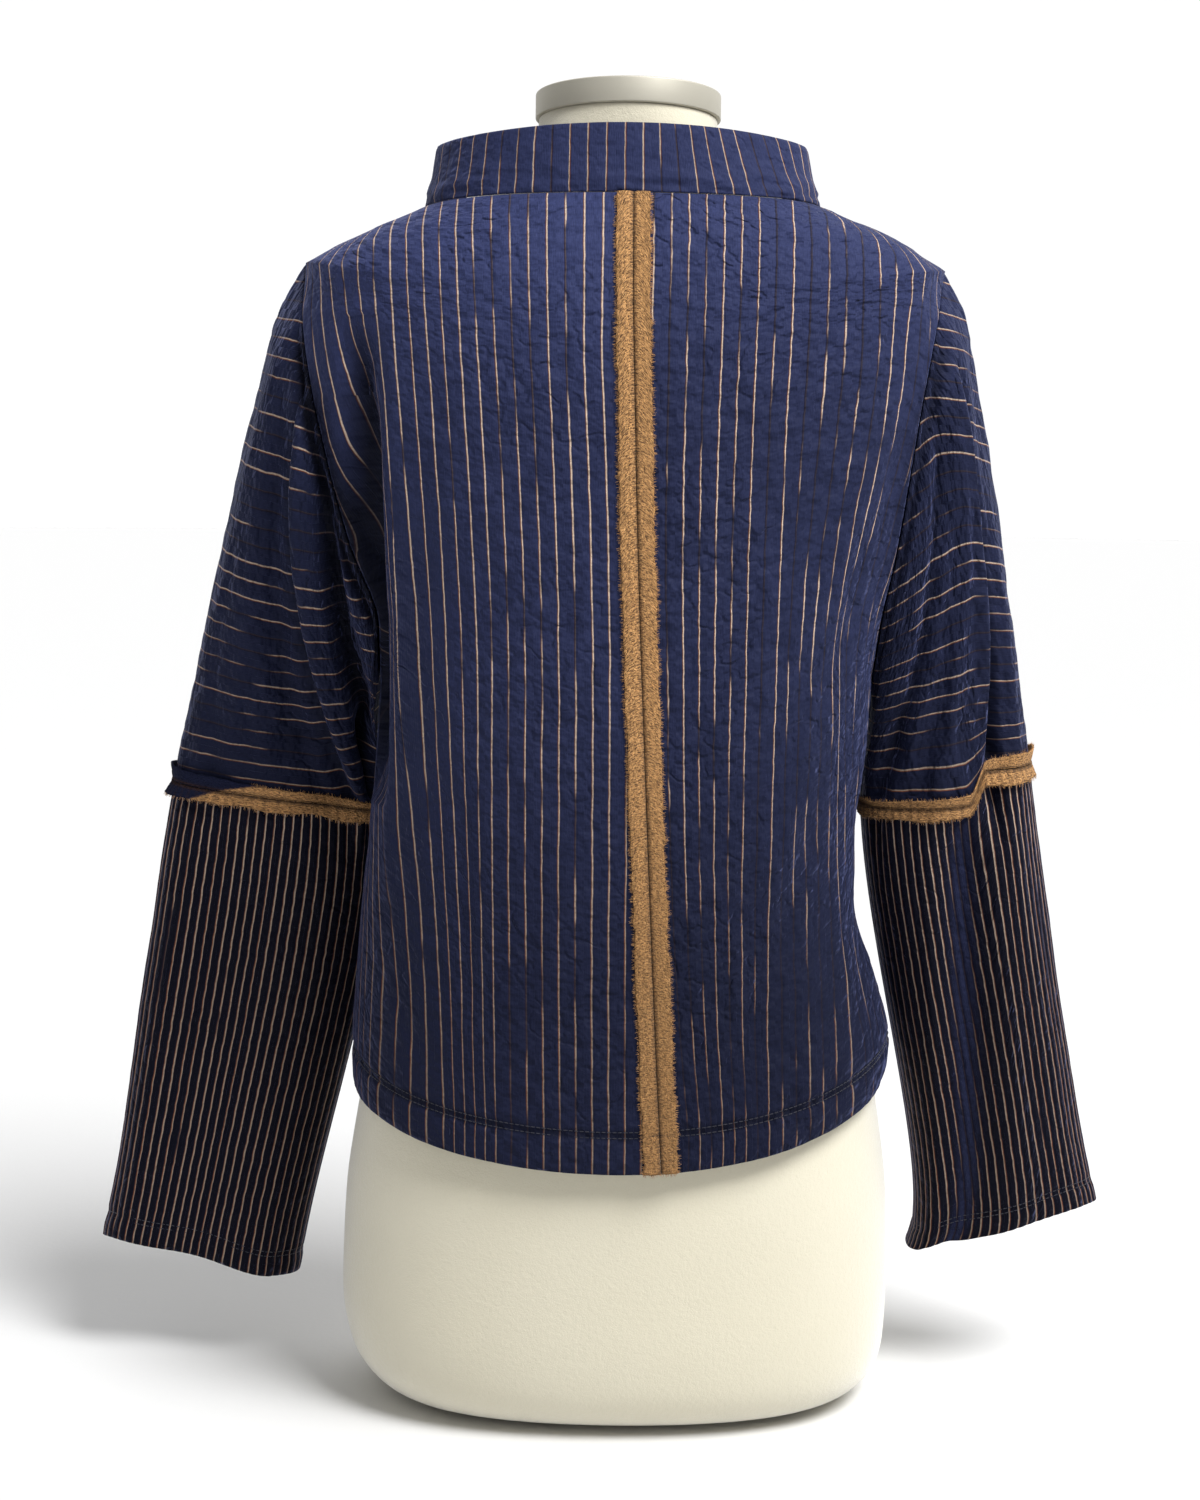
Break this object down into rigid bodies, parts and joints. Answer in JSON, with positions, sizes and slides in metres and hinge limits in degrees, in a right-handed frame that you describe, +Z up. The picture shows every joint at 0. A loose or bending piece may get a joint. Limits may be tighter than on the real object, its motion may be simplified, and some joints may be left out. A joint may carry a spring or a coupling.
{
  "type": "mock neck top on dress form",
  "caption": "Long-sleeved pinstriped top with a wide mock neck and exposed copper seam allowances, worn by a limbless dress form.",
  "frame": {"origin": "centre of the dress form's flat base, on the surface that it stands on", "axes": "+Z up; -Y towards the garment's back, which is the side pictured; +Y towards its front; +X towards the wearer's right"},
  "size_m": [0.6668, 0.2702, 0.834],
  "materials": {
    "navy_cloth": "crinkled navy double cloth with thin copper pinstripes",
    "forearm_cloth": "the same cloth with closer stripes",
    "copper_reverse": "fuzzy copper reverse of the cloth, raw edged",
    "cream_jersey": "cream jersey stretched over the form",
    "satin_metal": "satin taupe-grey metal"
  },
  "bodies": {
    "root": {"dress_form": "cream_jersey", "neck_cap": "satin_metal", "back_left": "navy_cloth", "back_right": "navy_cloth", "front": "navy_cloth", "collar": "navy_cloth", "centre_back_strip_left": "copper_reverse", "centre_back_strip_right": "copper_reverse", "upper_sleeve_left": "navy_cloth", "upper_sleeve_right": "navy_cloth", "lower_sleeve_left": "forearm_cloth", "lower_sleeve_right": "forearm_cloth", "elbow_strip_upper_left": "copper_reverse", "elbow_strip_upper_right": "copper_reverse", "elbow_strip_lower_left": "copper_reverse", "elbow_strip_lower_right": "copper_reverse"}
  },
  "joints": []
}
